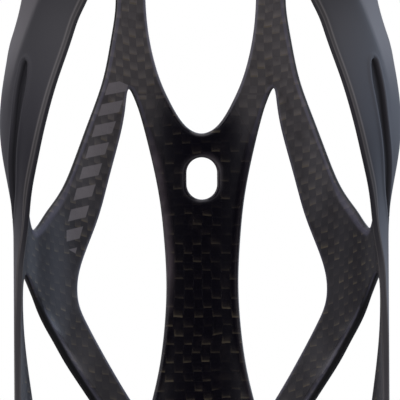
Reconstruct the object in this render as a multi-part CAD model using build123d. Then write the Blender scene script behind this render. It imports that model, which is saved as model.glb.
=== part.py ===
from build123d import *
import os

# Water bottle cage in moulded carbon fibre, built up from laminate pieces bonded along their seams.
# Frame: the origin is the centre of the two mounting slots, on the plane of the bicycle tube.
# +X is to the right, +Z is up, and +Y points from the bottle into the bicycle frame. Sizes are in mm.

# ---- driving dimensions ----
BOTTLE_R = 36.5          # inner radius of the cage, for a 73 mm bottle
WALL = 1.4               # laminate thickness
PAD_DEPTH = 1.6          # how far the mounting pads stand behind the spine
BULGE = 2.6              # how far the wings swell beyond the round cage
SLOT_SPACING = 64.0      # between the two mounting slots
SLOT_WIDTH = 6.3
SLOT_LENGTH = 8.6
SLOT_CUT = 10.0          # how deep a slot is cut, past the laminate and the pad
PAD_WIDTH = 13.0
PAD_HEIGHT = 18.0
PAD_CORNER_R = 6.0

TOP_SEAM_Z = 67.4        # wing to top loop
CROTCH_SEAM_Z = 50.5     # spine and upper ribs to upper arms
WING_SEAM_Z = 22.8       # wing to side junction
RIB_SEAM_Z = 11.0        # upper rib to lower rib
STRUT_SEAM_Z = 8.0       # side junction to front strut
PLATE_SEAM_Z = -16.8     # spine and lower ribs to lower plate
CUP_TOP_Z = -46.0
CUP_BOTTOM_Z = -60.0
SIDE_SEAM_X = 28.0       # back pieces to side pieces

FLOOR_HOLE_R = 23.0      # opening in the shelf under the bottle
FLOOR_THICKNESS = 1.6
LIP_RISE = 10.0          # front lip above the cup
LIP_HALF_WIDTH = 22.0
GROOVE_DEPTH = 0.6       # recess along the outside of each wing

# ---- worked out from them ----
OUTER_R = BOTTLE_R + WALL
AXIS_Y = -(OUTER_R + PAD_DEPTH)          # the bottle's axis
REACH = OUTER_R + BULGE + 5              # past every surface
LOW_Z = CUP_BOTTOM_Z - 5
HIGH_Z = 95.0
FRONT_VIEW = Plane.XZ.offset(-AXIS_Y)    # (x, z), through the bottle's axis
SIDE_VIEW = Plane.YZ.shift_origin((0, AXIS_Y, 0))


# ---- helpers ----
def outline(*runs):
    """A closed face. Each run of points is a smooth curve, or a straight line where it has two points."""
    return make_face([Line(*run) if len(run) == 2 else Spline(*run) for run in runs])


def forward(*points):
    """Side-view points, given as (distance forward of the bottle's axis, z)."""
    return [(-f, z) for f, z in points]


def behind(face):
    """A front-view face as a prism over the back half of the cage."""
    return extrude(FRONT_VIEW * face, amount=-REACH)


def beside(face):
    """A side-view face as a prism over the right half of the cage."""
    return extrude(SIDE_VIEW * face, amount=REACH)


def on_axis(shape):
    return Pos(0, AXIS_Y, 0) * shape


def tube(r_in, r_out, z_low, z_high):
    """A plain ring round the bottle's axis."""
    middle = Pos(0, 0, (z_low + z_high) / 2)
    height = z_high - z_low
    return on_axis(middle * (Cylinder(r_out, height) - Cylinder(r_in, height)))


def bulged(depth_in, depth_out):
    """The wings' shell of revolution, between two depths below its outer surface."""
    def profile(depth):
        return [
            (OUTER_R - depth, WING_SEAM_Z),
            (OUTER_R + 0.55 * BULGE - depth, 33.0),
            (OUTER_R + BULGE - depth, 44.0),
            (OUTER_R + 0.55 * BULGE - depth, 55.5),
            (OUTER_R - depth, TOP_SEAM_Z),
        ]
    inner = profile(depth_in)
    outer = profile(depth_out)
    face = outline(outer, [outer[-1], inner[-1]], inner[::-1], [inner[0], outer[0]])
    return on_axis(revolve(Plane.XZ * face, Axis.Z))


def mirrored(shape):
    return mirror(shape, about=Plane.YZ)


def slot(z):
    """A mounting slot, upright, cut right through the back."""
    face = SlotOverall(SLOT_LENGTH, SLOT_WIDTH, rotation=90)
    return Pos(0, 0, z) * extrude(Plane.XZ * face, amount=SLOT_CUT, both=True)


def pad(z):
    """A mounting pad between the spine's round back and the plane of the bicycle tube."""
    face = RectangleRounded(PAD_WIDTH, PAD_HEIGHT, PAD_CORNER_R)
    block = Pos(0, 0, z) * extrude(Plane.XZ * face, amount=PAD_DEPTH + WALL)
    inside = on_axis(Cylinder(OUTER_R, 4 * REACH))
    return block - inside - slot(z)


# ---- the back, drawn in front view ----
def back_half():
    """The right half of the back: arm, ribs, spine and lower plate in one, up to the side seam."""
    crotch = [
        (SIDE_SEAM_X, 88.4), (20.5, 86.9), (14.4, 81.8), (11.7, 75.0), (11.3, 68.4),
        (10.5, 60.2), (8.4, 52.1), (6.6, 48.0), (4.3, 44.0), (2.2, 41.9), (0, 41.2),
    ]
    low_edge = [
        (19.5, CUP_TOP_Z), (15.2, -40.0), (13.6, -33.0), (14.8, -26.5), (18.0, -20.5),
        (22.8, -13.0), (25.3, -9.1), (SIDE_SEAM_X, -4.7),
    ]
    high_edge = [
        (SIDE_SEAM_X, 30.3), (25.6, 35.8), (22.6, 44.0), (19.8, 52.1), (18.2, 60.2),
        (17.2, 67.4), (17.6, 71.8), (20.0, 76.1), (24.0, 78.3), (SIDE_SEAM_X, 79.0),
    ]
    return outline(
        crotch,
        [crotch[-1], (0, CUP_TOP_Z)],
        [(0, CUP_TOP_Z), low_edge[0]],
        low_edge,
        [low_edge[-1], high_edge[0]],
        high_edge,
        [high_edge[-1], crotch[0]],
    )


def leaf_opening():
    """The leaf-shaped opening between the spine and the right ribs."""
    return outline([
        (14.75, 50.4), (13.4, 48.0), (12.1, 44.0), (10.1, 35.8), (8.55, 27.6), (7.7, 19.4),
        (7.3, 11.3), (7.6, 3.2), (8.55, -5.0), (10.0, -12.0), (11.8, PLATE_SEAM_Z + 0.4),
        (14.9, -13.0), (19.6, -5.0), (23.7, 2.7), (25.3, 6.8), (25.5, 11.0), (24.5, 15.4),
        (21.4, 23.6), (19.1, 31.7), (16.9, 39.8), (15.5, 47.0), (14.75, 50.4),
    ])


def back_pieces():
    """The back cut along its seams: name to solid, for the right half and the middle."""
    half = tube(BOTTLE_R, OUTER_R, LOW_Z, HIGH_Z) & behind(back_half())
    half = half - behind(leaf_opening())
    leaf_top = (14.75, CROTCH_SEAM_Z)
    leaf_low = (11.8, PLATE_SEAM_Z)
    side_top = (SIDE_SEAM_X + 1, CROTCH_SEAM_Z)
    side_rib = (SIDE_SEAM_X + 1, RIB_SEAM_Z)
    side_low = (SIDE_SEAM_X + 1, PLATE_SEAM_Z)
    leaf_middle = (13.0, RIB_SEAM_Z)
    zones = {
        "upper_arm": [(0, CROTCH_SEAM_Z), side_top, (SIDE_SEAM_X + 1, HIGH_Z), (0, HIGH_Z)],
        "spine": [(0, PLATE_SEAM_Z), leaf_low, leaf_middle, leaf_top, (0, CROTCH_SEAM_Z)],
        "upper_rib": [leaf_middle, side_rib, side_top, leaf_top],
        "lower_rib": [leaf_low, side_low, side_rib, leaf_middle],
        "lower_plate": [(0, LOW_Z), (SIDE_SEAM_X + 1, LOW_Z), side_low, (0, PLATE_SEAM_Z)],
    }
    return {name: half & behind(make_face(Polyline(*zone, close=True))) for name, zone in zones.items()}


# ---- the sides, drawn in side view ----
WING_TOP_FRONT = (29.8, TOP_SEAM_Z)
WING_TOP_REAR = (10.4, TOP_SEAM_Z)
WING_LOW_FRONT = (12.6, WING_SEAM_Z)
WING_LOW_REAR = (-13.4, WING_SEAM_Z)
STRUT_TOP_FRONT = (6.3, STRUT_SEAM_Z)
STRUT_TOP_REAR = (-5.9, STRUT_SEAM_Z)
SIDE_REAR_F = -27.0      # past the side seam


def top_loop():
    top_edge = forward(
        (SIDE_REAR_F, 88.4), (-12.0, 88.9), (4.0, 88.2), (16.0, 86.0), (25.0, 82.0), (30.0, 77.4),
        (30.9, 73.2), WING_TOP_FRONT
    )
    low_edge = forward(
        WING_TOP_REAR, (12.2, 71.2), (11.4, 74.8), (7.6, 77.4), (1.0, 78.9), (-10.0, 79.4),
        (SIDE_REAR_F, 79.0)
    )
    return outline(top_edge, [top_edge[-1], low_edge[0]], low_edge, [low_edge[-1], top_edge[0]])


def wing():
    front_edge = forward(
        WING_TOP_FRONT, (27.5, 59.8), (26.5, 51.7), (25.0, 43.7), (21.2, 35.6), (15.7, 27.6),
        WING_LOW_FRONT
    )
    rear_edge = forward(
        WING_LOW_REAR, (-12.1, 26.6), (-11.2, 32.0), (-9.8, 39.5), (-7.5, 46.0), (-4.5, 52.0),
        (0, 58.0), (3.4, 60.8), (7.0, 63.6), WING_TOP_REAR
    )
    return outline(front_edge, [front_edge[-1], rear_edge[0]], rear_edge, [rear_edge[-1], front_edge[0]])


def wing_groove():
    return outline(forward(
        (18.6, 56.3), (19.6, 55.4), (20.2, 53.4), (20.1, 49.0), (18.9, 43.3), (15.5, 36.3), (11.4, 30.2),
        (7.6, 26.2), (5.6, 25.3), (5.2, 27.0), (7.9, 32.2), (11.6, 37.0), (14.7, 41.6), (16.3, 46.5),
        (17.0, 52.0), (17.5, 55.3), (18.6, 56.3)
    ))


def junction():
    rib_edge = forward(
        (SIDE_REAR_F, 33.3), (-24.5, 30.3), (-22.5, 27.6), (-20.4, 25.5), (-18.5, 23.6), (-16.6, 22.2),
        (-14.7, 21.7), WING_LOW_REAR
    )
    front_edge = forward(WING_LOW_FRONT, (10.7, 19.0), (8.0, 12.5), STRUT_TOP_FRONT)
    low_edge = forward(
        STRUT_TOP_REAR, (-6.8, 11.0), (-9.2, 12.6), (-12.2, 11.0), (-15.5, 7.5), (-18.8, 3.2),
        (-22.1, -1.0), (SIDE_REAR_F, -8.5)
    )
    return outline(
        rib_edge,
        [rib_edge[-1], front_edge[0]],
        front_edge,
        [front_edge[-1], low_edge[0]],
        low_edge,
        [low_edge[-1], rib_edge[0]],
    )


def strut():
    front_edge = forward(
        STRUT_TOP_FRONT, (4.2, 3.7), (1.6, -4.0), (0.8, -12.0), (1.8, -23.0), (5.5, -33.0),
        (12.0, -41.5), (17.0, CUP_TOP_Z)
    )
    rear_edge = forward(
        (-23.0, CUP_TOP_Z), (-19.2, -40.0), (-17.2, -31.0), (-15.4, -21.0), (-12.7, -12.4),
        (-9.4, -4.6), (-6.6, 2.6), STRUT_TOP_REAR
    )
    return outline(front_edge, [front_edge[-1], rear_edge[0]], rear_edge, [rear_edge[-1], front_edge[0]])


def side_pieces():
    """Name to solid, for the right side. Behind the axis they stop at the side seam."""
    shell = tube(BOTTLE_R, OUTER_R, LOW_Z, HIGH_Z)
    back_zone = extrude(
        Plane.XY.offset(LOW_Z) * Pos(0, AXIS_Y + REACH / 2) * Rectangle(2 * SIDE_SEAM_X, REACH),
        amount=HIGH_Z - LOW_Z,
    )
    side_shell = shell - back_zone
    swollen = bulged(WALL, 0) & beside(wing())
    groove = bulged(GROOVE_DEPTH, -1.0) & beside(wing_groove())
    return {
        "top_loop": side_shell & beside(top_loop()),
        "wing": swollen - groove,
        "junction": side_shell & beside(junction()),
        "strut": side_shell & beside(strut()),
    }


# ---- the base ----
def front_lip():
    """The raised front of the cup, drawn in front view."""
    top = CUP_TOP_Z + LIP_RISE
    edge = [
        (-LIP_HALF_WIDTH, CUP_TOP_Z), (-13.0, CUP_TOP_Z + 0.62 * LIP_RISE), (0, top),
        (13.0, CUP_TOP_Z + 0.62 * LIP_RISE), (LIP_HALF_WIDTH, CUP_TOP_Z),
    ]
    face = outline(edge, [edge[-1], edge[0]])
    prism = extrude(FRONT_VIEW * face, amount=REACH)
    return tube(BOTTLE_R, OUTER_R, CUP_TOP_Z, top) & prism


def base_floor():
    return tube(FLOOR_HOLE_R, OUTER_R, CUP_BOTTOM_Z - FLOOR_THICKNESS, CUP_BOTTOM_Z)


# ---- every piece ----
nodes = {}
back = back_pieces()
slot_z = SLOT_SPACING / 2
nodes["spine"] = back["spine"] + mirrored(back["spine"]) - slot(slot_z)
nodes["lower_plate"] = back["lower_plate"] + mirrored(back["lower_plate"]) - slot(-slot_z)
sides = {name: back[name] for name in ("upper_arm", "upper_rib", "lower_rib")}
sides.update(side_pieces())
for name, shape in sides.items():
    nodes["right_" + name] = shape
    nodes["left_" + name] = mirrored(shape)
nodes["spine_mount_pad"] = pad(slot_z)
nodes["lower_plate_mount_pad"] = pad(-slot_z)
nodes["base_cup"] = tube(BOTTLE_R, OUTER_R, CUP_BOTTOM_Z, CUP_TOP_Z)
nodes["base_floor"] = base_floor()
nodes["front_lip"] = front_lip()

os.makedirs("parts", exist_ok=True)
for name, shape in nodes.items():
    export_step(shape, f"parts/{name}.step")
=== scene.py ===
"""Water bottle cage: the moulded carbon shell as smooth laminate pieces, in the frame of the CAD model.

The whole cage is one thin shell round the bottle's axis, so it is drawn unrolled. s is the distance round
from the middle of the back and t is the height, both in mm, and below the cup t runs on round the corner and
along the floor. Each edge is a smooth curve through a few points. Metres are used only where the meshes are
made.
"""
import math

import bmesh
import bpy
import numpy as np
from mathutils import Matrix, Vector, kdtree
from mathutils.geometry import delaunay_2d_cdt


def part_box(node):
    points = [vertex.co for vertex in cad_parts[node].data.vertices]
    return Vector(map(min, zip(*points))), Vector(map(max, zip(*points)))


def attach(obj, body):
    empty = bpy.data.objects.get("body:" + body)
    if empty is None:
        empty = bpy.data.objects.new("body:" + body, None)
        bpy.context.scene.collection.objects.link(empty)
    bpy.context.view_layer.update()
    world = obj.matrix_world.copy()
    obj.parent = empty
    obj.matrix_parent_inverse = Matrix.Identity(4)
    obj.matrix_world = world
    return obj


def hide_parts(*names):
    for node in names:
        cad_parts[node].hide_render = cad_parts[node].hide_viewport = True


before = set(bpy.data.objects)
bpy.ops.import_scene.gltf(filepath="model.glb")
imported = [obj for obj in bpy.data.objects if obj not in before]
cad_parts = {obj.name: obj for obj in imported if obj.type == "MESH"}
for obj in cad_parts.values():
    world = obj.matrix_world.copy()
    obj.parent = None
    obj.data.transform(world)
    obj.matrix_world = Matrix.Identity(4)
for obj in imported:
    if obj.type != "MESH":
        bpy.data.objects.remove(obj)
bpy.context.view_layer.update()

MM = 0.001

# ---- sizes of the CAD model, in mm ----
ring_low, ring_high = (np.array(p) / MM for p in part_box("base_floor"))
AXIS_Y = (ring_low[1] + ring_high[1]) / 2
OUTER_R = (ring_high[0] - ring_low[0]) / 2
BASE_Z = ring_low[2]
WALL = 1.4                         # thickness of the laminate
H = WALL / 2                       # from the middle of the laminate to either side
R0 = OUTER_R - H                   # radius of the middle of the laminate
S_FRONT = math.pi * R0             # s at the middle of the front

# ---- sizes of the visual shell, in mm ----
BULGE = 2.65                       # how far the wings swell
BULGE_Z, BULGE_ABOVE, BULGE_BELOW = 43.0, 24.0, 22.0
RIDGE, RIDGE_LOW = 1.1, 70.0       # height of the wing's ridge, and its angle from the front at its foot
CORNER_R = 3.0                     # cup wall to floor, on the middle of the laminate
CORNER_T = BASE_Z + 0.8 + CORNER_R
FLOOR_T = CORNER_T - CORNER_R * math.pi / 2
FLOOR_HOLE_R = 23.0
T_END = FLOOR_T - (R0 - CORNER_R - FLOOR_HOLE_R)
SLOT_Z = 32.0
SLOT_R = 3.15
SLOT_HALF = 4.3
GROOVE_DEPTH, GROOVE_LIP = 0.95, 0.16
GROOVE_ROWS = (-0.12, -0.28, -0.45, -0.9, 0, 0.4, 0.8, 1.2)   # rows of points beside the groove's edge
CROTCH_T = 41.2                    # where the two arms meet
LIP_T = -36.0                      # the top of the lip at the middle of the front
STEP = 0.5                         # along the edges
GRID = 1.0                         # inside
RINGS = 5                          # points across each rounded edge


# ---- points on the unrolled shell ----
def X(x, z):
    """A point of the back, from the front view."""
    return (R0 * math.asin(x / R0), z)


def F(f, z):
    """A point of the side, from the side view: f is forward of the bottle's axis."""
    return (R0 * math.acos(-f / R0), z)


def A(theta, z):
    """A point at theta degrees from the middle of the front."""
    return (R0 * math.radians(180 - theta), z)


def smoothstep(x, low, high):
    """0 at low, 1 at high and smooth between. low may be the larger."""
    u = np.clip((np.asarray(x, float) - low) / (high - low), 0, 1)
    return u * u * (3 - 2 * u)


def natural_spline(points, per_span=30):
    """Dense points on a C2 curve through the given ones, and how many there are for each given point."""
    p = np.array(points, float)
    gaps = np.linalg.norm(np.diff(p, axis=0), axis=1) ** 0.75
    n = len(p)
    a, b = np.eye(n), np.zeros((n, 2))
    for i in range(1, n - 1):
        a[i, i - 1], a[i, i], a[i, i + 1] = gaps[i - 1], 2 * (gaps[i - 1] + gaps[i]), gaps[i]
        b[i] = 6 * ((p[i + 1] - p[i]) / gaps[i] - (p[i] - p[i - 1]) / gaps[i - 1])
    m = np.linalg.solve(a, b)
    u = np.linspace(0, 1, per_span, endpoint=False)[:, None]
    rows = []
    for i, h in enumerate(gaps):
        bend = ((1 - u) ** 3 - (1 - u)) * m[i] + (u ** 3 - u) * m[i + 1]
        rows.append((1 - u) * p[i] + u * p[i + 1] + bend * h * h / 6)
    return np.vstack(rows + [p[-1:]]), per_span


def resample(dense, step):
    """Points at even steps of about this length along a dense curve."""
    run = np.concatenate([[0], np.cumsum(np.linalg.norm(np.diff(dense, axis=0), axis=1))])
    at = np.linspace(0, run[-1], max(4, round(run[-1] / step)) + 1)
    return np.column_stack([np.interp(at, run, dense[:, k]) for k in (0, 1)])


def open_curve(points, mirror_start=None, mirror_end=None, step=STEP):
    """A smooth open curve. With mirror_start or mirror_end, it meets that value of s squarely."""
    p = [tuple(q) for q in points]
    before = [(2 * mirror_start - s, t) for s, t in p[3:0:-1]] if mirror_start is not None else []
    after = [(2 * mirror_end - s, t) for s, t in p[-2:-5:-1]] if mirror_end is not None else []
    dense, per = natural_spline(before + p + after)
    dense = dense[len(before) * per: (len(before) + len(p) - 1) * per + 1]
    return resample(dense, step)


def closed_curve(points, step=STEP):
    """A smooth closed curve, counter-clockwise, without its end point repeated."""
    p = [tuple(q) for q in points]
    wrap = 5
    dense, per = natural_spline(p[-wrap:] + p + p[: wrap + 1])
    dense = dense[wrap * per: (wrap + len(p)) * per + 1]
    out = resample(dense, step)[:-1]
    nxt = np.roll(out, -1, axis=0)
    area = np.sum(out[:, 0] * nxt[:, 1] - nxt[:, 0] * out[:, 1])
    return out if area > 0 else out[::-1]


# ---- the edges. Along each one the laminate is on the right ----
outer_edge = open_curve([
    (0, CROTCH_T), X(2.2, 41.9), X(4.3, 44.0), X(6.6, 48.0), X(8.4, 52.1), X(10.5, 60.2), X(11.3, 68.4),
    X(11.7, 75.0), X(14.4, 81.8), X(20.5, 86.9), X(28, 88.4), F(-12, 88.9), F(4, 88.2), F(16, 86.0),
    F(25, 82.0), A(36.2, 77.4), A(33.9, 73.2), A(37.0, 68.0), A(40.9, 63.8), A(43.2, 59.8), A(47.3, 51.7),
    A(51.2, 43.7), A(57.3, 35.6), A(66.3, 27.6),
    A(70.5, 22.8), A(73.5, 19), A(78.5, 13.5), A(81, 8), A(83.5, 3.7), A(88, -4), A(89, -12), A(87.2, -23),
    A(81.5, -33), A(71.2, -41.5), A(63, -45.6), A(55, -47), A(46, -46.8), A(35, -44.6), A(20.5, -39.8),
    A(0, LIP_T),
], mirror_start=0, mirror_end=S_FRONT)

leaf_edge = closed_curve([
    X(14.75, 50.4), X(13.4, 48.0), X(12.1, 44.0), X(10.1, 35.8), X(8.55, 27.6), X(7.7, 19.4), X(7.3, 11.3),
    X(7.6, 3.2), X(8.55, -5.0), X(10.0, -12.0), X(11.9, -16.2), X(14.9, -13.0), X(19.6, -5.0), X(23.7, 2.7),
    X(25.3, 6.8), X(25.5, 11.0), X(24.5, 15.4), X(21.4, 23.6), X(19.1, 31.7), X(16.9, 39.8), X(15.5, 47.0),
])

side_window = closed_curve([
    X(17.2, 67.4), X(18.2, 60.2), X(19.85, 52.1), X(22.65, 44.0), X(25.65, 35.8), X(27.8, 30.6),
    X(29.6, 27.6), X(31.1, 25.5), X(32.3, 23.6), F(-16.6, 22.2), F(-14.7, 21.7), F(-13.1, 23.3),
    F(-12.1, 26.6), F(-11.2, 32.0), F(-9.8, 39.5), F(-7.5, 46.0), F(-4.5, 52.0), F(0, 58.0), F(3.4, 60.8),
    F(7.0, 63.6), F(10.4, 67.4), F(12.2, 71.2), F(11.4, 74.8), F(7.6, 77.4), F(1.0, 78.9), F(-10.0, 79.4),
    X(28.0, 79.0), X(24.0, 78.3), X(20.0, 76.1), X(17.6, 71.8),
])

low_window = closed_curve([
    F(-5.9, 8.0), F(-6.8, 11.0), F(-9.2, 12.6), F(-12.2, 11.0), F(-15.5, 7.5), F(-18.8, 3.2), F(-22.1, -1.0),
    X(27.8, -5.0), X(25.3, -9.1), X(22.8, -13.0), X(18.0, -20.5), X(14.8, -26.5), X(13.6, -33.0),
    X(14.9, -39.5), X(18.4, -44.4), X(24.0, -46.2), F(-24.0, -45.9), F(-20.6, -43.2), F(-18.6, -38.6),
    F(-17.2, -31.0), F(-15.4, -21.0), F(-12.7, -12.4), F(-9.4, -4.6), F(-6.6, 2.6),
])


def half_slot(z):
    """The right half of a mounting slot, from its low end to its high end."""
    straight = SLOT_HALF - SLOT_R
    turn = np.radians(np.linspace(-90, 0, 11))
    low = np.column_stack([SLOT_R * np.cos(turn), z - straight + SLOT_R * np.sin(turn)])
    high = np.column_stack([low[::-1, 0], 2 * z - low[::-1, 1]])
    middle = [(SLOT_R, z + k * straight / 3) for k in (-2, -1, 0, 1, 2)]
    out = np.vstack([low, middle, high])
    out[[0, -1], 0] = 0
    return out


FLOOR_POINTS = 160
floor_edge = np.column_stack([np.linspace(S_FRONT, 0, FLOOR_POINTS), np.full(FLOOR_POINTS, T_END)])

# ---- the seams between the pieces, as straight lines in (s, t) ----
ARM_T, RIB_T, PLATE_T, TOP_T, WING_T, STRUT_T, CUP_T = 49.0, 11.0, -15.5, 67.4, 24.0, 8.0, -44.5
FLOOR_SEAM_T = CORNER_T - CORNER_R * math.pi / 4
SIDE_S, CROTCH_S, STRUT_S, LEAF_S, LIP_S = 31.7, 42.0, 47.3, 12.7, 87.6
LEAF_LEAN = 0.045                  # how the middle of the leaf-shaped opening leans outwards with height
WINDOW_WIDE_T = -6.0               # below this the low window alone parts the strut from the back
SEAMS = [
    ((0, ARM_T), (26, ARM_T)), ((0, PLATE_T), (26, PLATE_T)), ((LEAF_S, RIB_T), (SIDE_S, RIB_T)),
    ((SIDE_S, -14), (SIDE_S, 36)), ((SIDE_S, 74), (SIDE_S, 93)), ((60, TOP_T), (96, TOP_T)),
    ((CROTCH_S, WING_T), (86, WING_T)), ((STRUT_S, STRUT_T), (72, STRUT_T)),
    ((0, CUP_T), (S_FRONT, CUP_T)), ((0, FLOOR_SEAM_T), (S_FRONT, FLOOR_SEAM_T)),
]


def zone(s, t):
    """Which piece a point of the right half belongs to."""
    if t < CUP_T:
        return "base_floor" if t < FLOOR_SEAM_T else "base_cup"
    if s > LIP_S and t < 0:
        return "front_lip"
    if s < SIDE_S:
        if t > ARM_T:
            return "upper_arm"
        if t < PLATE_T:
            return "lower_plate"
        if s < LEAF_S + LEAF_LEAN * t:
            return "spine"
        return "upper_rib" if t > RIB_T else "lower_rib"
    if t > TOP_T:
        return "top_loop"
    if t > WING_T and s > CROTCH_S:
        return "wing"
    return "strut" if t < WINDOW_WIDE_T or (t < STRUT_T and s > STRUT_S) else "junction"


def with_crossings(curve, closed):
    """The curve with a point added wherever it crosses a seam."""
    ends = np.roll(curve, -1, axis=0) if closed else np.vstack([curve[1:], curve[-1:]])
    out = []
    for p, q in zip(curve, ends):
        out.append(tuple(p))
        hits = []
        for (s0, t0), (s1, t1) in SEAMS:
            k = 1 if t0 == t1 else 0
            level, low, high = (t0, s0, s1) if k else (s0, t0, t1)
            if (p[k] - level) * (q[k] - level) < 0:
                u = (level - p[k]) / (q[k] - p[k])
                hit = p + u * (q - p)
                if low < hit[1 - k] < high and 1e-3 < u < 1 - 1e-3:
                    hit[k] = level
                    hits.append((u, tuple(hit)))
        out += [hit for u, hit in sorted(hits)]
    return np.array(out)


def right_normals(curve, closed):
    """Unit normals that point to the right of the curve, squared up where an open curve meets the middle."""
    if closed:
        along = np.roll(curve, -1, axis=0) - np.roll(curve, 1, axis=0)
    else:
        along = np.gradient(curve, axis=0)
        for end in (0, -1):
            along[end, 1] = 0
    along /= np.linalg.norm(along, axis=1)[:, None]
    return np.column_stack([along[:, 1], -along[:, 0]])


def edge_shape(curve, name):
    """How far each edge is rounded: (width, height) for the outside, then for the inside, at each point."""
    s, t = curve.T
    n = len(curve)
    side = smoothstep(s, 33, 42)                       # 0 on the back, 1 on the sides
    low = smoothstep(t, -38, -44)
    out_r, out_e = np.full(n, 0.45), np.full(n, 0.4)
    in_r = 1.0 - 0.5 * np.maximum(side, low)
    in_e = 0.55 - 0.1 * np.maximum(side, low)
    if name == "outer":                                # the wing's front edge rolls over softly
        soft = smoothstep(s, 66, 76) * smoothstep(t, 14, 26) * smoothstep(t, 84, 74)
        out_r, out_e = out_r + 1.3 * soft, out_e + 0.1 * soft
    if name == "side_window":                          # the wing's rear edge rolls off broadly near the top
        soft = smoothstep(s, 52, 66) * smoothstep(t, 46, 56)
        out_r, out_e = out_r + 1.6 * soft, out_e + 0.35 * soft
        notch = smoothstep(t, 33, 25)
        in_r, in_e = in_r + 1.6 * notch, in_e + 0.3 * notch
    if name == "low_window":                           # the lower rib keeps a wide cut face
        rib = smoothstep(s, 43, 40) * smoothstep(t, -40, -34)
        in_r, in_e = in_r + 1.2 * rib, in_e - 0.15 * rib
        out_r, out_e = out_r - 0.2 * rib, out_e - 0.25 * rib
    if name == "leaf":                                 # the spine's edges roll off more broadly
        spine_side = smoothstep(s, 13.4, 11) * smoothstep(t, -8, 2) * smoothstep(t, 46, 38)
        in_r, in_e = in_r + 0.8 * spine_side, in_e + 0.12 * spine_side
    if name.startswith("slot"):
        in_r, in_e = np.full(n, 1.5), np.full(n, 0.4)
    return (out_r, out_e), (in_r, in_e)


# ---- the shell in space ----
def profile(t):
    """Radius, height and outward normal (radial, up) of the middle of the plain shell."""
    t = np.asarray(t, float)
    a = np.clip((CORNER_T - t) / CORNER_R, 0, math.pi / 2)
    on_floor = np.maximum(FLOOR_T - t, 0)
    r = R0 - CORNER_R + CORNER_R * np.cos(a) - on_floor
    z = np.where(t > CORNER_T, t, CORNER_T - CORNER_R * np.sin(a))
    return r, z, np.cos(a), -np.sin(a)


def past_ridge(s, t):
    """Distance past the wing's ridge, towards the front panel."""
    theta = RIDGE_LOW - 15 * (np.maximum(t - 42, 0) / 26) ** 2.2 + 0.5 * np.maximum(42 - t, 0)
    return s - R0 * np.radians(180 - theta)


def swell(s, t):
    """The wings' bulge and the soft ridge that parts the front panel from the side of each wing."""
    u = np.clip((t - BULGE_Z) / np.where(t > BULGE_Z, BULGE_ABOVE, BULGE_BELOW), -1, 1)
    out = BULGE * np.cos(u * math.pi / 2) ** 2 * smoothstep(s, 42, 56)
    q = past_ridge(s, t)
    near = np.sqrt(q * q + 0.4) / np.where(q > 0, 13.0, 11.0)
    return out + RIDGE * np.maximum(1 - near, 0) ** 1.3 * smoothstep(t, 32, 60) * smoothstep(t, 84, 72)


GROOVE_FRONT = [
    A(61.6, 56.3), A(60.2, 55.7), A(59.5, 54.2), A(59.4, 51.5), A(60.4, 47.8), A(62.3, 43.3), A(64.3, 40.0),
    A(67.0, 36.3), A(71.0, 31.6), A(75.4, 28.0), A(80, 25.2), A(85.5, 22.2), A(90, 20),
]
GROOVE_REAR = [
    A(61.6, 56.3), A(63.0, 55.7), A(63.9, 54.2), A(64.9, 51.5), A(65.9, 47.8), A(67.5, 43.0), A(70.8, 38.7),
    A(75.2, 34.9), A(79.4, 31.2), A(83.2, 27.4), A(86.6, 23.6), A(90, 20),
]
groove_front, groove_rear = open_curve(GROOVE_FRONT), open_curve(GROOVE_REAR)
groove_outline = np.vstack([groove_front, groove_rear[-2:0:-1]])


def inside(points, polygon):
    """Which points lie in the polygon."""
    a, b = polygon, np.roll(polygon, -1, axis=0)
    out = np.zeros(len(points), bool)
    for k in range(0, len(points), 4000):
        x, y = points[k: k + 4000, 0, None], points[k: k + 4000, 1, None]
        spans = (a[:, 1] > y) != (b[:, 1] > y)
        rise = np.where(b[:, 1] == a[:, 1], 1e-12, b[:, 1] - a[:, 1])
        cross = a[:, 0] + (y - a[:, 1]) * (b[:, 0] - a[:, 0]) / rise
        out[k: k + 4000] = np.sum(spans & (x < cross), axis=1) % 2 == 1
    return out


def distance(points, curve):
    """Distance from each point to a curve of close points."""
    a, d = curve[:-1], np.diff(curve, axis=0)
    out = np.empty(len(points))
    for k in range(0, len(points), 4000):
        rel = points[k: k + 4000, None] - a
        u = np.clip(np.sum(rel * d, axis=2) / np.sum(d * d, axis=1), 0, 1)
        out[k: k + 4000] = np.min(np.linalg.norm(rel - u[:, :, None] * d, axis=2), axis=1)
    return out


def groove(points):
    """How much the outside stands out at each point: the long scoop in the wing and its raised lips."""
    out = np.zeros(len(points))
    s, t = points.T
    near = np.flatnonzero((s > 50) & (s < 82) & (t > 16) & (t < 61))
    p = points[near]
    front, rear = distance(p, groove_front), distance(p, groove_rear)
    within = inside(p, groove_outline)
    across = front / np.maximum(front + rear, 1e-6)
    scoop = (0.45 + 0.55 * across) * smoothstep(front, 0, 0.9) * smoothstep(rear, 0, 0.4)
    nearest = np.minimum(front, rear)
    fade = smoothstep(p[:, 1], 19, 26)
    lip = GROOVE_LIP * smoothstep(nearest, 1.1, 0.1) * fade
    sunk = GROOVE_LIP * fade - (GROOVE_DEPTH + GROOVE_LIP) * scoop * (0.35 + 0.65 * fade)
    out[near] = np.where(within, sunk, lip)
    return out


def recess(points):
    """1 on the floor of the scoop, 0 elsewhere."""
    return smoothstep(groove(points), 0.0, -0.5)


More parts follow.
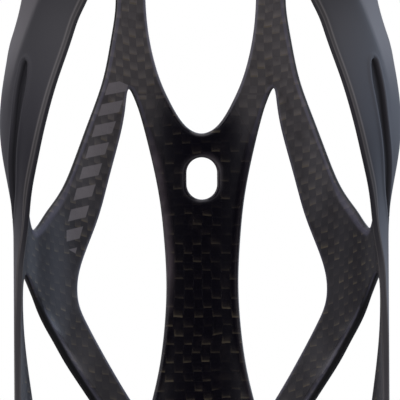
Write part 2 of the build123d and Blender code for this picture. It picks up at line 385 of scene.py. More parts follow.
# ---- one side of the right half as triangles ----
CURVES = {
    "outer": (outer_edge, False), "leaf": (leaf_edge, True), "side_window": (side_window, True),
    "low_window": (low_window, True), "slot_high": (half_slot(SLOT_Z), False),
    "slot_low": (half_slot(-SLOT_Z), False), "floor": (floor_edge, False),
}
CURVES = {name: (with_crossings(c, closed), closed) for name, (c, closed) in CURVES.items()}
for c, closed in CURVES.values():
    if not closed:
        c[np.abs(c[:, 0]) < 1e-6, 0] = 0
        c[np.abs(c[:, 0] - S_FRONT) < 1e-6, 0] = S_FRONT
border = np.vstack([CURVES["outer"][0], CURVES["floor"][0]])
holes = [c for name, (c, closed) in CURVES.items() if closed]
for z in (SLOT_Z, -SLOT_Z):
    right = half_slot(z)
    holes.append(np.vstack([right, [(-s - 1e-6, t) for s, t in right[::-1]]]))


def in_laminate(points):
    """Which points lie inside the border and outside every opening."""
    out = inside(points, border)
    for hole in holes:
        out &= ~inside(points, hole)
    return out


def hex_grid():
    """A grid of even triangles over the unrolled right half."""
    rows = []
    for k, t in enumerate(np.arange(T_END, 92, GRID * 0.866)):
        s = np.arange(GRID * (0.5 if k % 2 else 1.0), S_FRONT - 0.4, GRID)
        rows.append(np.column_stack([s, np.full(len(s), t)]))
    return np.vstack(rows)


def tree_of(points):
    """A search tree over unrolled points."""
    tree = kdtree.KDTree(len(points))
    for i, (s, t) in enumerate(points):
        tree.insert((s, t, 0), i)
    tree.balance()
    return tree


def build_side(outside):
    """One side as triangles: points, height off the middle, nearness to an edge, faces and edge rows."""
    pts, high, rim, edges, first = [], [], [], [], {}
    base, base_n, base_r, base_e = [], [], [], []
    for name, (curve, closed) in CURVES.items():
        normals = right_normals(curve, closed)
        r, e = edge_shape(curve, name)[0 if outside else 1]
        base.append(curve)
        base_n.append(normals)
        base_r.append(r)
        base_e.append(e)
        for k in range(RINGS):
            a = k / (RINGS - 1) * math.pi / 2
            start = len(pts)
            ring = curve + normals * (r * (1 - math.cos(a)))[:, None]
            if k == 0:
                first[name] = start
            pts += ring.tolist()
            high += (H - e * (1 - math.sin(a))).tolist()
            rim += [math.cos(a)] * len(ring)
            rows = list(range(start, start + len(ring)))
            edges += list(zip(rows, rows[1:] + rows[:1] if closed else rows[1:]))
    base, base_n = np.vstack(base), np.vstack(base_n)
    base_r, base_e = np.concatenate(base_r), np.concatenate(base_e)
    tree = tree_of(base)

    def edge_height(p):
        """Height and nearness of a point that may lie on a rounded edge."""
        _, i, _ = tree.find((p[0], p[1], 0))
        d = max(0.0, float((np.array(p) - base[i]) @ base_n[i]))
        if d >= base_r[i]:
            return H, 0.0
        cos_a = 1 - d / base_r[i]
        return H - base_e[i] * (1 - math.sqrt(1 - cos_a ** 2)), cos_a

    def add_free(points):
        """Adds points that no edge goes through, and returns their rows."""
        start = len(pts)
        for p in points:
            h, near = edge_height(p)
            pts.append(list(p))
            high.append(h)
            rim.append(near)
        return list(range(start, len(pts)))

    for a, b in SEAMS:
        n = round(math.dist(a, b) / GRID)
        line = np.linspace(a, b, n + 1)
        rows = add_free(line)
        edges += list(zip(rows, rows[1:]))
    middle = np.vstack([
        np.column_stack([np.full(n, s), np.linspace(low, high_t, n)]) for s, low, high_t, n in (
            (0, SLOT_Z + SLOT_HALF, CROTCH_T, 6), (0, -SLOT_Z + SLOT_HALF, SLOT_Z - SLOT_HALF, 56),
            (0, T_END, -SLOT_Z - SLOT_HALF, 38), (S_FRONT, T_END, LIP_T, 38),
        )
    ])
    taken = tree_of(pts)
    middle = [p for p in middle if taken.find((p[0], p[1], 0))[2] > 0.35]
    add_free(middle)
    if outside:
        following = np.roll(groove_outline, -1, axis=0)
        turn = np.sum(groove_outline[:, 0] * following[:, 1] - following[:, 0] * groove_outline[:, 1])
        outward = right_normals(groove_outline, True) * (1 if turn > 0 else -1)
        for offset in GROOVE_ROWS:
            line = groove_outline + outward * offset
            clear = np.minimum(distance(line, groove_front), distance(line, groove_rear))
            add_free(line[clear > abs(offset) * 0.9])
        taken = tree_of(pts)
    grid = hex_grid()
    grid = grid[in_laminate(grid)]
    free = [p for p in grid if taken.find((p[0], p[1], 0))[2] > 0.5 * GRID and edge_height(p)[1] == 0]
    add_free(free)

    coords = [Vector(p) for p in pts]
    verts, _, faces, origin, _, _ = delaunay_2d_cdt(coords, edges, [], 0, 1e-5)
    out = np.array([tuple(v) for v in verts])
    heights, near = np.empty(len(out)), np.empty(len(out))
    new_row = {}
    for j, source in enumerate(origin):
        if source:
            heights[j], near[j] = high[source[0]], rim[source[0]]
            out[j] = pts[source[0]]
            for i in source:
                new_row[i] = j
        else:
            heights[j], near[j] = edge_height(out[j])
    tris = np.array([tuple(f) for f in faces])
    a, b, c = out[tris[:, 0]], out[tris[:, 1]], out[tris[:, 2]]
    area = (b[:, 0] - a[:, 0]) * (c[:, 1] - a[:, 1]) - (b[:, 1] - a[:, 1]) * (c[:, 0] - a[:, 0])
    tris[area < 0] = tris[area < 0][:, ::-1]
    keep = (np.abs(area) > 1e-9) & in_laminate((a + b + c) / 3)
    tris = tris[keep]
    loops = {
        name: [new_row[first[name] + i] for i in range(len(CURVES[name][0]))] for name in CURVES
    }
    return out, heights, near, tris, loops


def place(st, high):
    """Points in space, in mm, for unrolled points at a height off the middle of the laminate."""
    s, t = st.T
    r, z, n_r, n_z = profile(t)
    r = r + swell(s, t) + high * n_r
    phi = s / R0
    return np.column_stack([r * np.sin(phi), AXIS_Y + r * np.cos(phi), z + high * n_z])


# ---- both sides and the walls between them ----
out_st, out_h, out_near, out_tris, out_loops = build_side(True)
in_st, in_h, in_near, in_tris, in_loops = build_side(False)
n_out, n_in = len(out_st), len(in_st)
st = np.vstack([out_st, in_st])
xyz = np.vstack([place(out_st, out_h + groove(out_st)), place(in_st, -in_h)])
faces = [tuple(f[::-1]) for f in out_tris] + [tuple(f + n_out) for f in in_tris]
for name, (curve, closed) in CURVES.items():
    rows_out, rows_in = out_loops[name], [i + n_out for i in in_loops[name]]
    count = len(rows_out)
    for i in range(count if closed else count - 1):
        j = (i + 1) % count
        if rows_out[i] != rows_out[j]:
            faces.append((rows_out[i], rows_in[i], rows_in[j], rows_out[j]))
zones = [zone(*(st[list(f)].mean(axis=0))) for f in faces]

# ---- what the materials read at each point ----
# outside, the flank is the part of the wing behind its ridge
# the satin is painted paler there, a painted sheen
out_s, out_t = out_st.T
flank_out = smoothstep(past_ridge(out_s, out_t), 0.2, -1.6)
flank_out *= smoothstep(out_t, 46, 62) * smoothstep(out_s, 50, 56)
# inside, it is -1 on the lower rib's cut face and up to 1 on the resin-rich edge beside it
in_s, in_t = in_st.T
from_cut = distance(in_st, np.vstack([low_window, low_window[:1]]))
on_rib = (in_s < 41 + 0.8 * in_t) * smoothstep(in_t, 11, 5)
resin_rich = smoothstep(from_cut, 0.95, 1.25) * smoothstep(from_cut, 3.3, 1.2) ** 1.5
flank_in = (resin_rich - smoothstep(from_cut, 1.25, 0.85)) * on_rib
point_values = {
    "cut_edge": np.concatenate([out_near, in_near]),
    "scoop": np.concatenate([recess(out_st), np.zeros(n_in)]),
    "flank": np.concatenate([flank_out, flank_in]),
    "within": np.concatenate([np.zeros(n_out), np.ones(n_in)]),
}

# ---- the left half ----
off_middle = (np.abs(st[:, 0]) >= 1e-7) & (np.abs(st[:, 0] - S_FRONT) >= 1e-7)
other = np.arange(len(st))
other[off_middle] = len(st) + np.arange(np.count_nonzero(off_middle))
xyz = np.vstack([xyz, xyz[off_middle] * (-1, 1, 1)])
st = np.vstack([st, st[off_middle] * (-1, 1)])
point_values = {key: np.concatenate([v, v[off_middle]]) for key, v in point_values.items()}
MIDDLE_PIECES = ("spine", "lower_plate", "base_cup", "base_floor", "front_lip")
names = [z if z in MIDDLE_PIECES else "right_" + z for z in zones]
names += [z if z in MIDDLE_PIECES else "left_" + z for z in zones]
faces += [tuple(int(other[i]) for i in f[::-1]) for f in faces]

whole = bpy.data.meshes.new("whole_shell")
whole.from_pydata((xyz * MM).tolist(), [], faces)
normals = np.empty(len(xyz) * 3, np.float32)
whole.vertex_normals.foreach_get("vector", normals)
normals = normals.reshape(-1, 3)
bpy.data.meshes.remove(whole)

round_from_back = np.abs(st[:, 0])
woven = 1 - np.where(
    point_values["within"] > 0, smoothstep(round_from_back, 50, 60), smoothstep(round_from_back, 39, 49)
)
woven *= smoothstep(st[:, 1], -47, -43)


# ---- the pieces of the shell ----
def link(name, mesh):
    obj = bpy.data.objects.new(name, mesh)
    bpy.context.scene.collection.objects.link(obj)
    return obj


def add_attributes(mesh, unrolled, values):
    """What the materials read: the unrolled place with how woven it looks, and the values by name."""
    layer = mesh.attributes.new("unrolled", "FLOAT_VECTOR", "POINT")
    layer.data.foreach_set("vector", np.asarray(unrolled, np.float32).ravel())
    for name, column in values.items():
        layer = mesh.attributes.new(name, "FLOAT", "POINT")
        layer.data.foreach_set("value", np.asarray(column, np.float32))


def bridge_seams(work, rows):
    """Closes a rib's seams, which turn a corner, with quads where both sides have the same points."""
    work.verts.ensure_lookup_table()
    at = {}
    for k, i in enumerate(rows):
        at[round(st[i, 0], 3), round(st[i, 1], 3), bool(point_values["within"][i])] = work.verts[k]
    other_side = {}
    for (s, t, within), vert in at.items():
        if not within and (s, t, True) in at:
            other_side[vert] = at[s, t, True]
    for edge in [e for e in work.edges if e.is_boundary]:
        a = edge.link_loops[0].vert
        b = edge.other_vert(a)
        if a in other_side and b in other_side:
            across = work.edges.get((other_side[a], other_side[b]))
            if across and across.is_boundary:
                work.faces.new((b, a, other_side[a], other_side[b]))


def shell_piece(name):
    """One laminate piece of the shell, closed across its seams."""
    mine = [f for f, n in zip(faces, names) if n == name]
    rows = sorted({i for f in mine for i in f})
    local = {i: k for k, i in enumerate(rows)}
    mesh = bpy.data.meshes.new(name)
    mesh.from_pydata((xyz[rows] * MM).tolist(), [], [tuple(local[i] for i in f) for f in mine])
    work = bmesh.new()
    work.from_mesh(mesh)
    if name in ("base_cup", "base_floor"):
        ring_rows = {local[i] for i in rows if abs(st[i, 1] - FLOOR_SEAM_T) < 1e-4}
        rings = [e for e in work.edges if e.is_boundary and all(v.index in ring_rows for v in e.verts)]
        bmesh.ops.bridge_loops(work, edges=rings)
    if name.endswith("rib"):
        bridge_seams(work, rows)
    bmesh.ops.holes_fill(work, edges=[e for e in work.edges if e.is_boundary], sides=0)
    work.to_mesh(mesh)
    work.free()
    mesh.shade_smooth()
    mesh.normals_split_custom_set_from_vertices(normals[rows].tolist())
    values = {key: v[rows] for key, v in point_values.items()}
    add_attributes(mesh, np.column_stack([st[rows], woven[rows]]), values)
    return link(name + "_laminate", mesh)


# ---- the mounting pads behind the slots ----
PAD_WIDTH, PAD_HEIGHT, PAD_CORNER_R, PAD_ROUND = 13.0, 18.0, 6.0, 0.4
PAD_SINK = 0.3                     # how far a pad goes into the laminate
PAD_POINTS = 96
PAD_RINGS = 4                      # across each rounded edge


def rounded_outline(width, height, corner):
    """PAD_POINTS points at even steps round an upright rounded rectangle."""
    dense = []
    for k, (cx, cz) in enumerate(((1, 1), (-1, 1), (-1, -1), (1, -1))):
        a = np.radians(np.linspace(90 * k, 90 * k + 90, 60))
        x, z = cx * (width / 2 - corner) + corner * np.cos(a), cz * (height / 2 - corner) + corner * np.sin(a)
        dense.append(np.column_stack([x, z]))
    dense = np.vstack(dense + [dense[0][:1]])
    run = np.concatenate([[0], np.cumsum(np.linalg.norm(np.diff(dense, axis=0), axis=1))])
    at = np.linspace(0, run[-1], PAD_POINTS, endpoint=False)
    return np.column_stack([np.interp(at, run, dense[:, k]) for k in (0, 1)])


def mount_pad(name, z):
    """A pad from just inside the laminate to the plane of the bicycle tube, with the slot through it."""
    rings = []

    def ring(width, height, corner, y=None):
        """Adds a ring of points at y, or where the pad sinks into the laminate."""
        flat = rounded_outline(width, height, corner)
        in_wall = AXIS_Y + np.sqrt((OUTER_R - PAD_SINK) ** 2 - flat[:, 0] ** 2)
        depth = in_wall if y is None else np.full(len(flat), y)
        rings.append(np.column_stack([flat[:, 0], depth, z + flat[:, 1]]))

    outer = (PAD_WIDTH, PAD_HEIGHT, PAD_CORNER_R)
    slot = (2 * SLOT_R, 2 * SLOT_HALF, SLOT_R)
    ring(*outer)
    for sign, (width, height, corner) in ((-1, outer), (1, slot)):
        for k in range(PAD_RINGS)[::-sign]:
            a = k / (PAD_RINGS - 1) * math.pi / 2
            inset = sign * PAD_ROUND * (1 - math.cos(a)) * 2
            ring(width + inset, height + inset, corner + inset / 2, -PAD_ROUND * (1 - math.sin(a)))
    ring(*slot)
    n, loops = PAD_POINTS, len(rings)
    quads = []
    for a in range(loops):
        b = (a + 1) % loops
        quads += [(a * n + i, a * n + (i + 1) % n, b * n + (i + 1) % n, b * n + i) for i in range(n)]
    points = np.vstack(rings)
    mesh = bpy.data.meshes.new(name)
    mesh.from_pydata((points * MM).tolist(), [], quads)
    work = bmesh.new()
    work.from_mesh(mesh)
    bmesh.ops.recalc_face_normals(work, faces=work.faces)
    work.to_mesh(mesh)
    work.free()
    mesh.shade_smooth()
    unrolled = np.column_stack([points[:, 0], points[:, 2], np.ones(len(points))])
    add_attributes(mesh, unrolled, {key: np.zeros(len(points)) for key in point_values})
    return link(name + "_boss", mesh)


# ---- materials ----
WHITE = (1, 1, 1, 1)


class Nodes:
    """Short calls for building a material's or the world's nodes."""

    def __init__(self, owner):
        owner.use_nodes = True
        self.tree = owner.node_tree
        self.tree.nodes.clear()

    def new(self, kind, **settings):
        node = self.tree.nodes.new(kind)
        for key, value in settings.items():
            setattr(node, key, value)
        return node

    def feed(self, value, socket):
        if isinstance(value, bpy.types.NodeSocket):
            self.tree.links.new(value, socket)
        else:
            socket.default_value = value

    def math(self, operation, *values, clamp=False):
        node = self.new("ShaderNodeMath", operation=operation, use_clamp=clamp)
        for value, socket in zip(values, node.inputs):
            self.feed(value, socket)
        return node.outputs[0]

    def chain(self, operation, first, *rest, clamp=False):
        for value in rest[:-1]:
            first = self.math(operation, first, value)
        return self.math(operation, first, rest[-1], clamp=clamp)

    def mul(self, *values, clamp=False):
        return self.chain("MULTIPLY", *values, clamp=clamp)

    def add(self, *values, clamp=False):
        return self.chain("ADD", *values, clamp=clamp)

    def sub(self, a, b):
        return self.math("SUBTRACT", a, b)

    def size(self, a):
        return self.math("ABSOLUTE", a)

    def ramp(self, value, low, high, to_low=0.0, to_high=1.0):
        node = self.new("ShaderNodeMapRange", interpolation_type="SMOOTHSTEP")
        for v, socket in zip((value, low, high, to_low, to_high), node.inputs):
            self.feed(v, socket)
        return node.outputs[0]

    def mix(self, factor, a, b):
        node = self.new("ShaderNodeMix", data_type="RGBA")
        self.feed(factor, node.inputs["Factor"])
        self.feed(a, node.inputs["A"])
        self.feed(b, node.inputs["B"])
        return node.outputs["Result"]

    def noise(self, vector, scale, detail, out=0):
        node = self.new("ShaderNodeTexNoise")
        self.feed(vector, node.inputs["Vector"])
        node.inputs["Scale"].default_value = scale
        node.inputs["Detail"].default_value = detail
        return node.outputs[out]

    def combine(self, x, y, z=0.0):
        node = self.new("ShaderNodeCombineXYZ")
        for v, socket in zip((x, y, z), node.inputs):
            self.feed(v, socket)
        return node.outputs[0]

    def split(self, vector):
        node = self.new("ShaderNodeSeparateXYZ")
        self.feed(vector, node.inputs[0])
        return node.outputs

    def attribute(self, name, output="Fac"):
        return self.new("ShaderNodeAttribute", attribute_name=name).outputs[output]


class Cloth:
    """The plain weave's values as sockets. up runs 0 to 1 up a tow's square, and chance differs by square."""

    DRIFT = 2.2                    # how far the tows wander, in mm
    TOW_SHAPE = 1.06               # width of a tow's square over its height

    def __init__(self, n, s, t, mask, look):
        flat = n.combine(s, t)
        drift = n.new("ShaderNodeSeparateColor")
        n.feed(n.noise(flat, 0.09, 1.0, out=1), drift.inputs[0])
        lift = n.mul(n.math("MAXIMUM", n.sub(n.size(s), 14.0), 0.0), look["shear"])
        u = n.add(s, n.mul(n.sub(drift.outputs[0], 0.5), self.DRIFT))
        v = n.sub(n.add(t, n.mul(n.sub(drift.outputs[1], 0.5), self.DRIFT)), lift)
        u = n.math("DIVIDE", u, look["tow"] * self.TOW_SHAPE)
        v = n.math("DIVIDE", v, look["tow"])
        column, row = n.math("FLOOR", u), n.math("FLOOR", v)
        along, self.up = n.sub(u, column), n.sub(v, row)
        self.parity = n.math("FLOORED_MODULO", n.add(column, row), 2.0)
        chance = n.new("ShaderNodeTexWhiteNoise", noise_dimensions="2D")
        n.feed(n.combine(column, row), chance.inputs["Vector"])
        self.chance = chance.outputs["Value"]
        self.cloudy = n.ramp(n.noise(flat, 0.16, 3.0), 0.38, 0.62)

        # a painted highlight where a crossing tow catches the light: a bright line along its foot, a tick up
        # its side and a glow over it
        across = n.mul(n.ramp(along, 0.0, 0.16), n.ramp(along, 1.0, 0.86))
        dash = n.mul(n.ramp(self.up, 0.3, 0.08), n.ramp(self.up, 0.0, 0.05), across)
        tick = n.mul(n.ramp(along, 0.2, 0.06), n.ramp(self.up, 1.0, 0.2), 0.5)
        glow = n.mul(n.ramp(self.up, 1.0, 0.0), across, look["glow"])
        strength = n.add(look["even"], n.math("POWER", self.chance, 1.6))
        strength = n.mul(strength, n.add(0.3, n.mul(self.cloudy, 0.8)))
        faint = n.mul(n.ramp(n.size(s), 12.0, 8.0), n.ramp(t, 4.0, 24.0), 0.5)
        strength = n.mul(strength, n.sub(1.0, faint))
        self.tow_glint = n.mul(n.add(dash, tick, glow), self.parity, strength, mask, clamp=True)
        strands = n.ramp(n.math("SINE", n.mul(along, 40.0)), -1.0, 1.0)
        self.fibre = n.mul(n.sub(1.0, self.parity), strands, mask)
        haze = n.mul(n.ramp(n.noise(flat, 0.3, 3.0), 0.48, 0.7), n.ramp(n.noise(flat, 0.08, 1.0), 0.35, 0.6))
        self.haze = n.mul(haze, mask)


def cloth_tint(n, s, t, cloth, off_spine, look):
    """The woven part's ground, with painted light and shade: nearly black on the spine, grey tows with darker
    ones between on the rest, paler higher up, darker by the junction and towards the sides.
    """
    around = n.size(s)
    # painted light: the tows' grey ground gets paler higher up
    body = n.mix(n.ramp(t, 10.0, 55.0), look["grey"], look["grey_lit_high"])
    # painted highlight: the crossing tows are lighter where they catch the light, the tows between them
    # darker
    lit = n.mul(cloth.parity, n.ramp(cloth.up, 1.05, 0.1), n.ramp(cloth.chance, -0.3, 0.7))
    shade = n.sub(1.0, n.mul(lit, n.add(0.5, n.mul(cloth.cloudy, 0.5))))
    body = n.mix(shade, body, n.mix(n.ramp(t, 20.0, 60.0), look["grey_warp"], look["warp_lit_high"]))
    # painted shade: darker by the junction
    junction_shade = n.mul(n.ramp(around, 24.0, 33.0), n.ramp(t, 32.0, 14.0), n.ramp(t, -4.0, 6.0), 0.45)
    body = n.mix(junction_shade, body, look["dark"])
    # painted shade: darker towards the sides
    body = n.mix(n.mul(n.ramp(around, 33.0, 44.0), 0.6), body, look["side_shade_grey"])
    # painted light and shade: the ribs and arms get the grey ground, the spine is left near black
    return n.mix(off_spine, look["dark"], body)


def satin_tint(n, t, flank, look):
    """The satin part's ground, with painted light: paler at the foot and at the top, and a painted sheen
    behind the wing's ridge.
    """
    satin = n.mix(n.ramp(t, 24.0, 12.0), look["satin"], look["satin_lit_low"])
    satin = n.mix(n.ramp(t, 44.0, 64.0), satin, look["satin_lit_high"])
    return n.mix(flank, satin, look["satin_flank_sheen"])


def painted_spine_sheen(n, s, t, cloudy):
    """Where a painted reflection makes the ground paler: along the spine's edges, mostly on the left, and
    round the upper slot.
    """
    edge_s = n.add(7.3, n.mul(n.math("POWER", n.size(n.sub(t, 11.3)), 2.0), 0.0046))
    past_left, past_right = n.sub(n.mul(s, -1.0), edge_s), n.sub(s, edge_s)
    strip = n.mul(n.math("POWER", n.ramp(past_left, -2.4, -0.2), 1.6), n.ramp(t, 2.0, 12.0))
    strip = n.mul(strip, n.add(0.65, n.mul(cloudy, 0.6)))
    strip = n.add(strip, n.mul(n.ramp(past_right, -1.1, -0.4), 0.1))
    strip = n.mul(strip, n.ramp(n.size(s), 14.0, 11.0), n.ramp(t, 44.0, 34.0))
    past_end = n.math("MAXIMUM", n.sub(n.size(n.sub(t, SLOT_Z)), SLOT_HALF - SLOT_R), 0.0)
    reach = n.math("SQRT", n.add(n.mul(s, s), n.mul(past_end, past_end)))
    ring = n.mul(n.ramp(reach, SLOT_R + 1.7, SLOT_R + 0.2), n.ramp(t, SLOT_Z - 5, SLOT_Z + 4))
    return n.add(strip, n.mul(ring, n.add(0.15, n.mul(n.ramp(s, -1.0, 3.5), 0.45))))


BARS_FROM = (-17.6, 52.0)          # (s, t) at the top of the row of bars
BARS_WAY = (-0.367, -0.931)        # which way the row runs
BARS_LENGTH, BARS_WIDTH = 37.0, 4.4
BAR_EVERY, BAR_SHARE, BAR_SLANT = 4.6, 0.6, 0.6


def printed_bars(n, s, t):
    """Plain slanted bars in a row along the inside of the rib."""
    ds, dt = n.sub(s, BARS_FROM[0]), n.sub(t, BARS_FROM[1])
    down = n.add(n.mul(ds, BARS_WAY[0]), n.mul(dt, BARS_WAY[1]))
    side = n.add(n.mul(ds, -BARS_WAY[1]), n.mul(dt, BARS_WAY[0]))
    wave = n.math("FRACT", n.math("DIVIDE", n.add(down, n.mul(side, BAR_SLANT)), BAR_EVERY))
    bar = n.mul(n.ramp(wave, 0.0, 0.05), n.ramp(wave, BAR_SHARE + 0.02, BAR_SHARE - 0.03))
    bar = n.mul(bar, n.ramp(n.size(side), BARS_WIDTH / 2 + 0.1, BARS_WIDTH / 2 - 0.1))
    bar = n.mul(bar, n.ramp(down, 0.0, 0.2), n.ramp(down, BARS_LENGTH, BARS_LENGTH - 0.2))
    return n.mul(bar, n.attribute("within"))


def carbon(name, look, marked=False):
    """Moulded carbon: plain weave under clear coat where the mesh says woven, satin black elsewhere."""
    material = bpy.data.materials.new(name)
    n = Nodes(material)
    s, t, mask = n.split(n.attribute("unrolled", "Vector"))
    edge, scoop, flank = n.attribute("cut_edge"), n.attribute("scoop"), n.attribute("flank")
    around = n.size(s)
    cloth = Cloth(n, s, t, mask, look)
    arm = n.mul(n.ramp(t, 36.0, 54.0), n.add(4.0, n.mul(n.ramp(s, -5.0, 5.0), 4.0)))
    off_spine = n.ramp(n.add(around, arm), 7.5, 16.0)

    tint = n.mix(mask, satin_tint(n, t, flank, look), cloth_tint(n, s, t, cloth, off_spine, look))
    tint = n.mix(n.mul(cloth.fibre, 0.2), tint, look["fibre"])
    # painted highlight on the crossing tows
    tint = n.mix(cloth.tow_glint, tint, look["tow_glint"])
    tint = n.mix(n.mul(cloth.haze, 0.5), tint, look["haze"])
    # painted reflection along the spine's edges and round the upper slot
    tint = n.mix(n.mul(painted_spine_sheen(n, s, t, cloth.cloudy), mask, clamp=True), tint, look["spine_sheen"])
    if marked:
        tint = n.mix(printed_bars(n, s, t), tint, look["print"])

    # the scoop's floor is painted dark as shade, the rounded corners get a painted paler highlight, and the
    # cut face of the cloth is black, partly its own dark and partly painted shade
    # painted shade: the floor of the scoop is darkened
    tint = n.mix(scoop, tint, look["floor"])
    corner = n.mul(n.ramp(edge, 0.12, 0.5), n.ramp(edge, 0.97, 0.7))
    # painted highlight: the satin's rounded corners are made paler
    tint = n.mix(n.mul(corner, n.sub(1.0, mask), look["corner_sheen"]), tint, look["pale"])
    # painted reflection: a bluish paler rim along the woven pieces' rounded corners, off the spine
    tint = n.mix(n.mul(corner, mask, off_spine, 0.3), tint, look["rib_rim_reflection"])
    # a fine dark line runs down the front edge of the wing and strut
    front_s = n.add(55.0, n.mul(n.ramp(t, 25.0, 50.0), 9.0))
    on_front = n.ramp(n.sub(around, front_s), -1.0, 1.0)
    line = n.mul(n.ramp(edge, 0.42, 0.5), n.ramp(edge, 0.8, 0.7))
    tint = n.mix(n.mul(line, on_front, 0.65), tint, look["floor"])
    # the cut face, and on the lower rib a band beside it, is painted near black: partly the cut cloth's own
    # dark, partly painted shade
    cut = n.mul(n.math("MAXIMUM", n.ramp(edge, 0.9, 1.0), n.mul(flank, -1.0)), mask, clamp=True)
    tint = n.mix(cut, tint, look["cut"])

    resin_rich = n.mul(flank, mask, clamp=True)
    rough = n.add(look["spine_rough"], n.mul(off_spine, look["rough"] - look["spine_rough"]))
    rough = n.add(rough, n.mul(n.ramp(around, 34.0, 46.0), mask, 0.2), n.mul(scoop, 0.3))
    rough = n.sub(rough, n.mul(resin_rich, 0.2))
    rough = n.add(rough, n.mul(cut, look["cut_rough"]), clamp=True)
    weight = n.add(look["coat"], n.mul(off_spine, look["rib_coat"] - look["coat"]))
    weight = n.add(n.mul(mask, weight), n.mul(resin_rich, 0.8), clamp=True)

    bump = n.new("ShaderNodeBump")
    bump.inputs["Strength"].default_value = look["bump"]
    bump.inputs["Distance"].default_value = 0.04 * MM
    n.feed(n.mul(n.sub(1.0, n.mul(cloth.parity, n.ramp(cloth.up, 0.0, 0.5))), mask), bump.inputs["Height"])

    shader = n.new("ShaderNodeBsdfPrincipled")
    n.feed(tint, shader.inputs["Base Color"])
    n.feed(rough, shader.inputs["Roughness"])
    n.feed(bump.outputs[0], shader.inputs["Normal"])
    n.feed(weight, shader.inputs["Coat Weight"])
    shader.inputs["Specular IOR Level"].default_value = look["specular"]
    shader.inputs["Coat Roughness"].default_value = look["coat_rough"]
    n.feed(shader.outputs[0], n.new("ShaderNodeOutputMaterial").inputs[0])
    return material


SPINE_LOOK = {
    "satin": (0.024, 0.0235, 0.030, 1), "satin_lit_low": (0.08, 0.077, 0.08, 1),
    "satin_lit_high": (0.042, 0.042, 0.046, 1), "satin_flank_sheen": (0.13, 0.125, 0.128, 1),
    "dark": (0.004, 0.003, 0.0085, 1), "grey": (0.052, 0.048, 0.048, 1), "grey_lit_high": (0.17, 0.153, 0.142, 1),
    "grey_warp": (0.036, 0.034, 0.038, 1), "warp_lit_high": (0.095, 0.088, 0.086, 1),
    "side_shade_grey": (0.022, 0.022, 0.027, 1),
    "fibre": (0.010, 0.009, 0.0085, 1), "tow_glint": (0.12, 0.1, 0.065, 1), "haze": (0.024, 0.019, 0.02, 1),
    "spine_sheen": (0.13, 0.108, 0.118, 1), "print": (0.2, 0.186, 0.188, 1), "floor": (0.008, 0.008, 0.011, 1),
    "pale": (0.3, 0.28, 0.26, 1), "rib_rim_reflection": (0.19, 0.19, 0.28, 1), "cut": (0.003, 0.003, 0.004, 1),
    "shear": 0.0, "tow": 1.86, "glow": 0.3, "even": 0.15, "corner_sheen": 0.5, "bump": 0.6, "specular": 0.4,
    "rough": 0.38, "spine_rough": 0.16, "cut_rough": 0.4, "coat": 0.6, "rib_coat": 0.2, "coat_rough": 0.15,
}
RIB_LOOK = {**SPINE_LOOK, "shear": 0.22, "tow": 1.6}
SPINE = carbon("woven_spine", SPINE_LOOK)
RIBS = carbon("woven_ribs", RIB_LOOK)
MARKED = carbon("woven_marked", RIB_LOOK, marked=True)
SATIN = carbon("satin_black", SPINE_LOOK)

WOVEN_PIECES = {
    "spine": SPINE, "lower_plate": SPINE, "right_upper_arm": RIBS, "left_upper_arm": MARKED,
    "right_upper_rib": RIBS, "left_upper_rib": MARKED, "right_lower_rib": RIBS, "left_lower_rib": RIBS,
    "right_junction": RIBS, "left_junction": RIBS, "spine_mount_pad": SPINE, "lower_plate_mount_pad": SPINE,
}
pieces = [(shell_piece(name), name) for name in sorted(set(names))]
pieces.append((mount_pad("spine_mount_pad", SLOT_Z), "spine_mount_pad"))
pieces.append((mount_pad("lower_plate_mount_pad", -SLOT_Z), "lower_plate_mount_pad"))
for piece, node in pieces:
    piece.data.materials.append(WOVEN_PIECES.get(node, SATIN))
    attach(piece, "root")
    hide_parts(node)

# ---- the floor, which lights nothing ----
FLOOR_HALF = 2.5                   # metres
floor_mesh = bpy.data.meshes.new("floor")
corners = [(x * FLOOR_HALF, y * FLOOR_HALF, BASE_Z * MM) for x, y in ((-1, -1), (1, -1), (1, 1), (-1, 1))]
floor_mesh.from_pydata(corners, [], [(0, 1, 2, 3)])
floor = link("floor", floor_mesh)
floor.visible_glossy = False
floor.visible_diffuse = False
pale = bpy.data.materials.new("pale_floor")
pale.use_nodes = True
pale_shader = pale.node_tree.nodes["Principled BSDF"]
pale_shader.inputs["Base Color"].default_value = (0.86, 0.86, 0.86, 1)
pale_shader.inputs["Roughness"].default_value = 0.9
floor_mesh.materials.append(pale)

# ---- light ----
STUDIO = (                         # brightness from the camera's side (0) round to the back (1)
    (0.0, 0.01), (0.03, 0.04), (0.075, 0.3), (0.11, 2.6), (0.16, 1.05), (0.3, 1.05), (0.5, 1.05), (0.6, 0.75),
    (0.68, 0.42), (0.76, 0.45), (0.84, 0.56), (0.9, 0.42), (0.95, 0.3), (1.0, 0.24),
)
WARM, COOL = (1.0, 0.97, 1.05, 1), (0.86, 0.98, 1.22, 1)


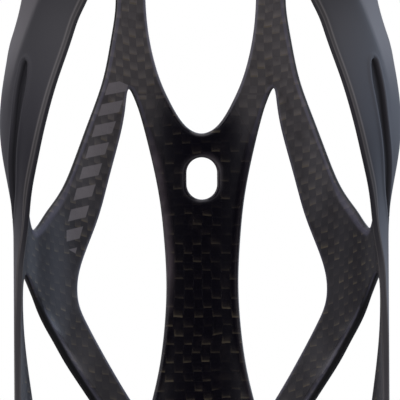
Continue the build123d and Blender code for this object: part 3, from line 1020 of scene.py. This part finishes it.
def studio_world():
    """A soft studio, dim behind the camera and cooler at the back right. The camera itself sees white."""
    world = bpy.data.worlds.new("studio")
    bpy.context.scene.world = world
    w = Nodes(world)
    dx, dy, dz = w.split(w.new("ShaderNodeTexCoord").outputs["Generated"])
    ramp = w.new("ShaderNodeValToRGB")
    ramp.color_ramp.interpolation = "B_SPLINE"
    w.feed(w.mul(w.add(dy, 1.0), 0.5), ramp.inputs[0])
    stops = ramp.color_ramp.elements
    while len(stops) < len(STUDIO):
        stops.new(0.5)
    for stop, (at, value) in zip(stops, STUDIO):
        stop.position, stop.color = at, (value, value, value, 1)
    above = w.ramp(dz, -0.25, 0.0, 0.42, 1.0)
    behind = w.ramp(dy, -0.1, 0.35)
    right, left = w.ramp(dx, 0.1, 0.8), w.ramp(dx, -0.1, -0.8)
    back_sides = w.sub(w.add(1.0, w.mul(right, 0.8)), w.mul(left, 0.45))
    front_sides = w.sub(1.0, w.mul(right, w.ramp(dy, -0.1, -0.5), 0.45))
    sides = w.add(front_sides, w.mul(behind, w.sub(back_sides, front_sides)))
    wall = w.mul(w.ramp(dz, 0.25, 0.5), w.ramp(dy, 0.25, 0.55), 2.0)
    level = w.add(w.mul(ramp.outputs[0], above, sides), 0.01, wall)
    seen = w.new("ShaderNodeLightPath").outputs["Is Camera Ray"]
    level = w.add(w.mul(level, w.sub(1.0, seen)), seen)
    tone = w.mix(w.mul(w.ramp(dx, -0.7, 0.7), behind), WARM, COOL)
    back = w.new("ShaderNodeBackground")
    w.feed(level, back.inputs["Strength"])
    w.feed(w.mix(seen, tone, WHITE), back.inputs["Color"])
    w.feed(back.outputs[0], w.new("ShaderNodeOutputWorld").inputs[0])


LOOK_AT_Z = 0.0276
studio_world()
lamp = bpy.data.lights.new("top_soft", "AREA")
lamp.energy, lamp.size = 1.5, 0.8
top_soft = link("top_soft", lamp)
top_soft.location = (0.15, -0.1, 1.0)
down = Vector((0, AXIS_Y * MM, LOOK_AT_Z)) - top_soft.location
top_soft.rotation_euler = down.to_track_quat("-Z", "Y").to_euler()

# ---- camera ----
CAMERA_AWAY = 3.65                 # metres from the bottle's axis
SEEN_WIDTH = 0.0808                # metres across the picture at the axis
SENSOR = 36
SWING, ROLL = math.radians(0.36), math.radians(0.33)
view = bpy.data.cameras.new("camera")
view.sensor_width = SENSOR
view.lens = SENSOR * CAMERA_AWAY / SEEN_WIDTH
view.clip_start, view.clip_end = 0.1, 60
camera = link("camera", view)
target = Vector((-0.00016, AXIS_Y * MM, LOOK_AT_Z))
camera.location = target + Vector((math.sin(SWING), -math.cos(SWING), 0)) * CAMERA_AWAY
camera.rotation_euler = (math.radians(90), ROLL, SWING)
bpy.context.scene.camera = camera
bpy.context.scene.view_settings.view_transform = "Standard"
